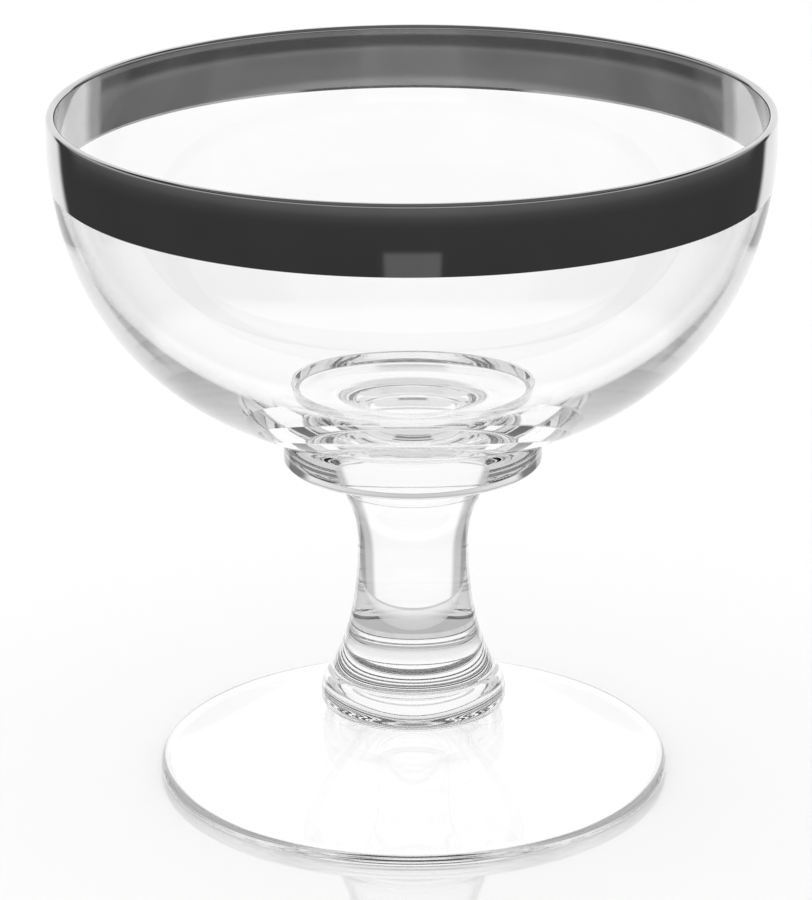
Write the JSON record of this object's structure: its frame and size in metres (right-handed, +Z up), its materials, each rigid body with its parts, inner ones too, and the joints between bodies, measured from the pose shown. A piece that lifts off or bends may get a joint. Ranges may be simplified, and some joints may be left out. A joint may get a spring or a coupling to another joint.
{
  "type": "sherbet glass",
  "caption": "Clear stemmed sherbet glass: round bowl with a metal rim band, cushion collar, waisted solid stem and domed round foot.",
  "frame": {"origin": "centre of the ring that the foot stands on, in the plane of the table", "axes": "+Z up along the axis that every piece is turned about; X and Y lie in the table's plane"},
  "size_m": [0.1, 0.1, 0.0974],
  "materials": {
    "clear_glass": "fire-polished clear glass",
    "platinum_lustre": "fired mirror-bright metal lustre"
  },
  "bodies": {
    "root": {"bowl": "clear_glass", "rim_band": "platinum_lustre", "collar": "clear_glass", "stem": "clear_glass", "foot": "clear_glass"}
  },
  "joints": []
}
